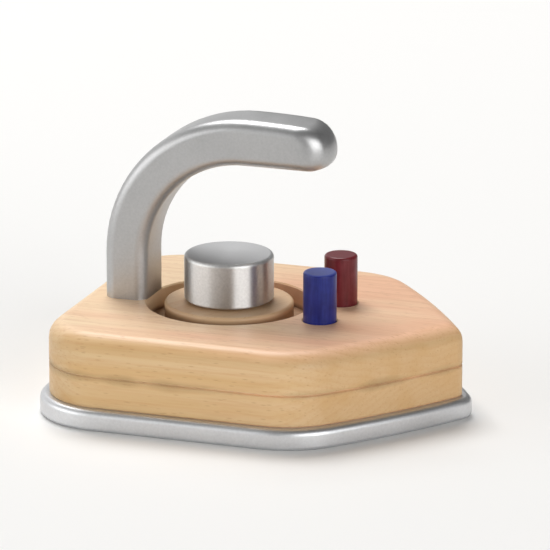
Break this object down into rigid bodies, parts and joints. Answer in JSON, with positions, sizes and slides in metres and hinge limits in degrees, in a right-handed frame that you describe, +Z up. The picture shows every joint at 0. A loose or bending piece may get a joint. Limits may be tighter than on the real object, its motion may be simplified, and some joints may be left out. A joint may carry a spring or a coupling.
{
  "type": "toy iron",
  "caption": "Wooden pretend-play iron: a laminated body on a painted soleplate, a cane-shaped handle, a clicking dial and sprung push buttons.",
  "frame": {"origin": "centre of the soleplate's underside", "axes": "+X to the nose, +Y to the left side, +Z up"},
  "size_m": [0.1572, 0.1272, 0.1094],
  "materials": {
    "silver_paint": "wood sprayed with satin silver paint",
    "beech": "sanded and clear varnished",
    "dowel": "bare turned dowel",
    "blue_paint": "wood with gloss blue paint",
    "red_paint": "wood with gloss dark red paint",
    "zinc_steel": "zinc plated",
    "spring_steel": "bright drawn",
    "white_nylon": "moulded",
    "dark_nylon": "moulded"
  },
  "bodies": {
    "iron": {"soleplate": "silver_paint", "soleplate_screws": "zinc_steel", "lower_body": "beech", "upper_body": "beech", "handle": "silver_paint", "handle_dowels": "dowel", "handle_screw": "zinc_steel", "click_spring": "spring_steel", "click_spring_screw": "zinc_steel", "blue_spring": "spring_steel", "red_spring": "spring_steel"},
    "dial": {"dial_plate": "beech", "knob": "silver_paint", "knob_spacer": "dark_nylon", "dial_spindle": "dowel", "thrust_washer": "white_nylon", "click_wheel": "white_nylon", "spindle_washer": "zinc_steel", "spindle_screw": "zinc_steel"},
    "blue_button": {"blue_button": "blue_paint", "blue_collar": "white_nylon"},
    "red_button": {"red_button": "red_paint", "red_collar": "white_nylon"}
  },
  "joints": [
    {"name": "dial_turn", "type": "hinge", "parent": "iron", "child": "dial", "pos_m": [-0.0174, 0, 0.036], "axis": [0, 0, 1], "continuous": true, "deforming": ["click_spring"]},
    {"name": "blue_press", "type": "slide", "parent": "iron", "child": "blue_button", "axis": [0, 0, -1], "range_m": [0, 0.005], "stiffness_N_per_m": 300, "springref_m": -0.003, "deforming": ["blue_spring"]},
    {"name": "red_press", "type": "slide", "parent": "iron", "child": "red_button", "axis": [0, 0, -1], "range_m": [0, 0.005], "stiffness_N_per_m": 300, "springref_m": -0.003, "deforming": ["red_spring"]}
  ]
}
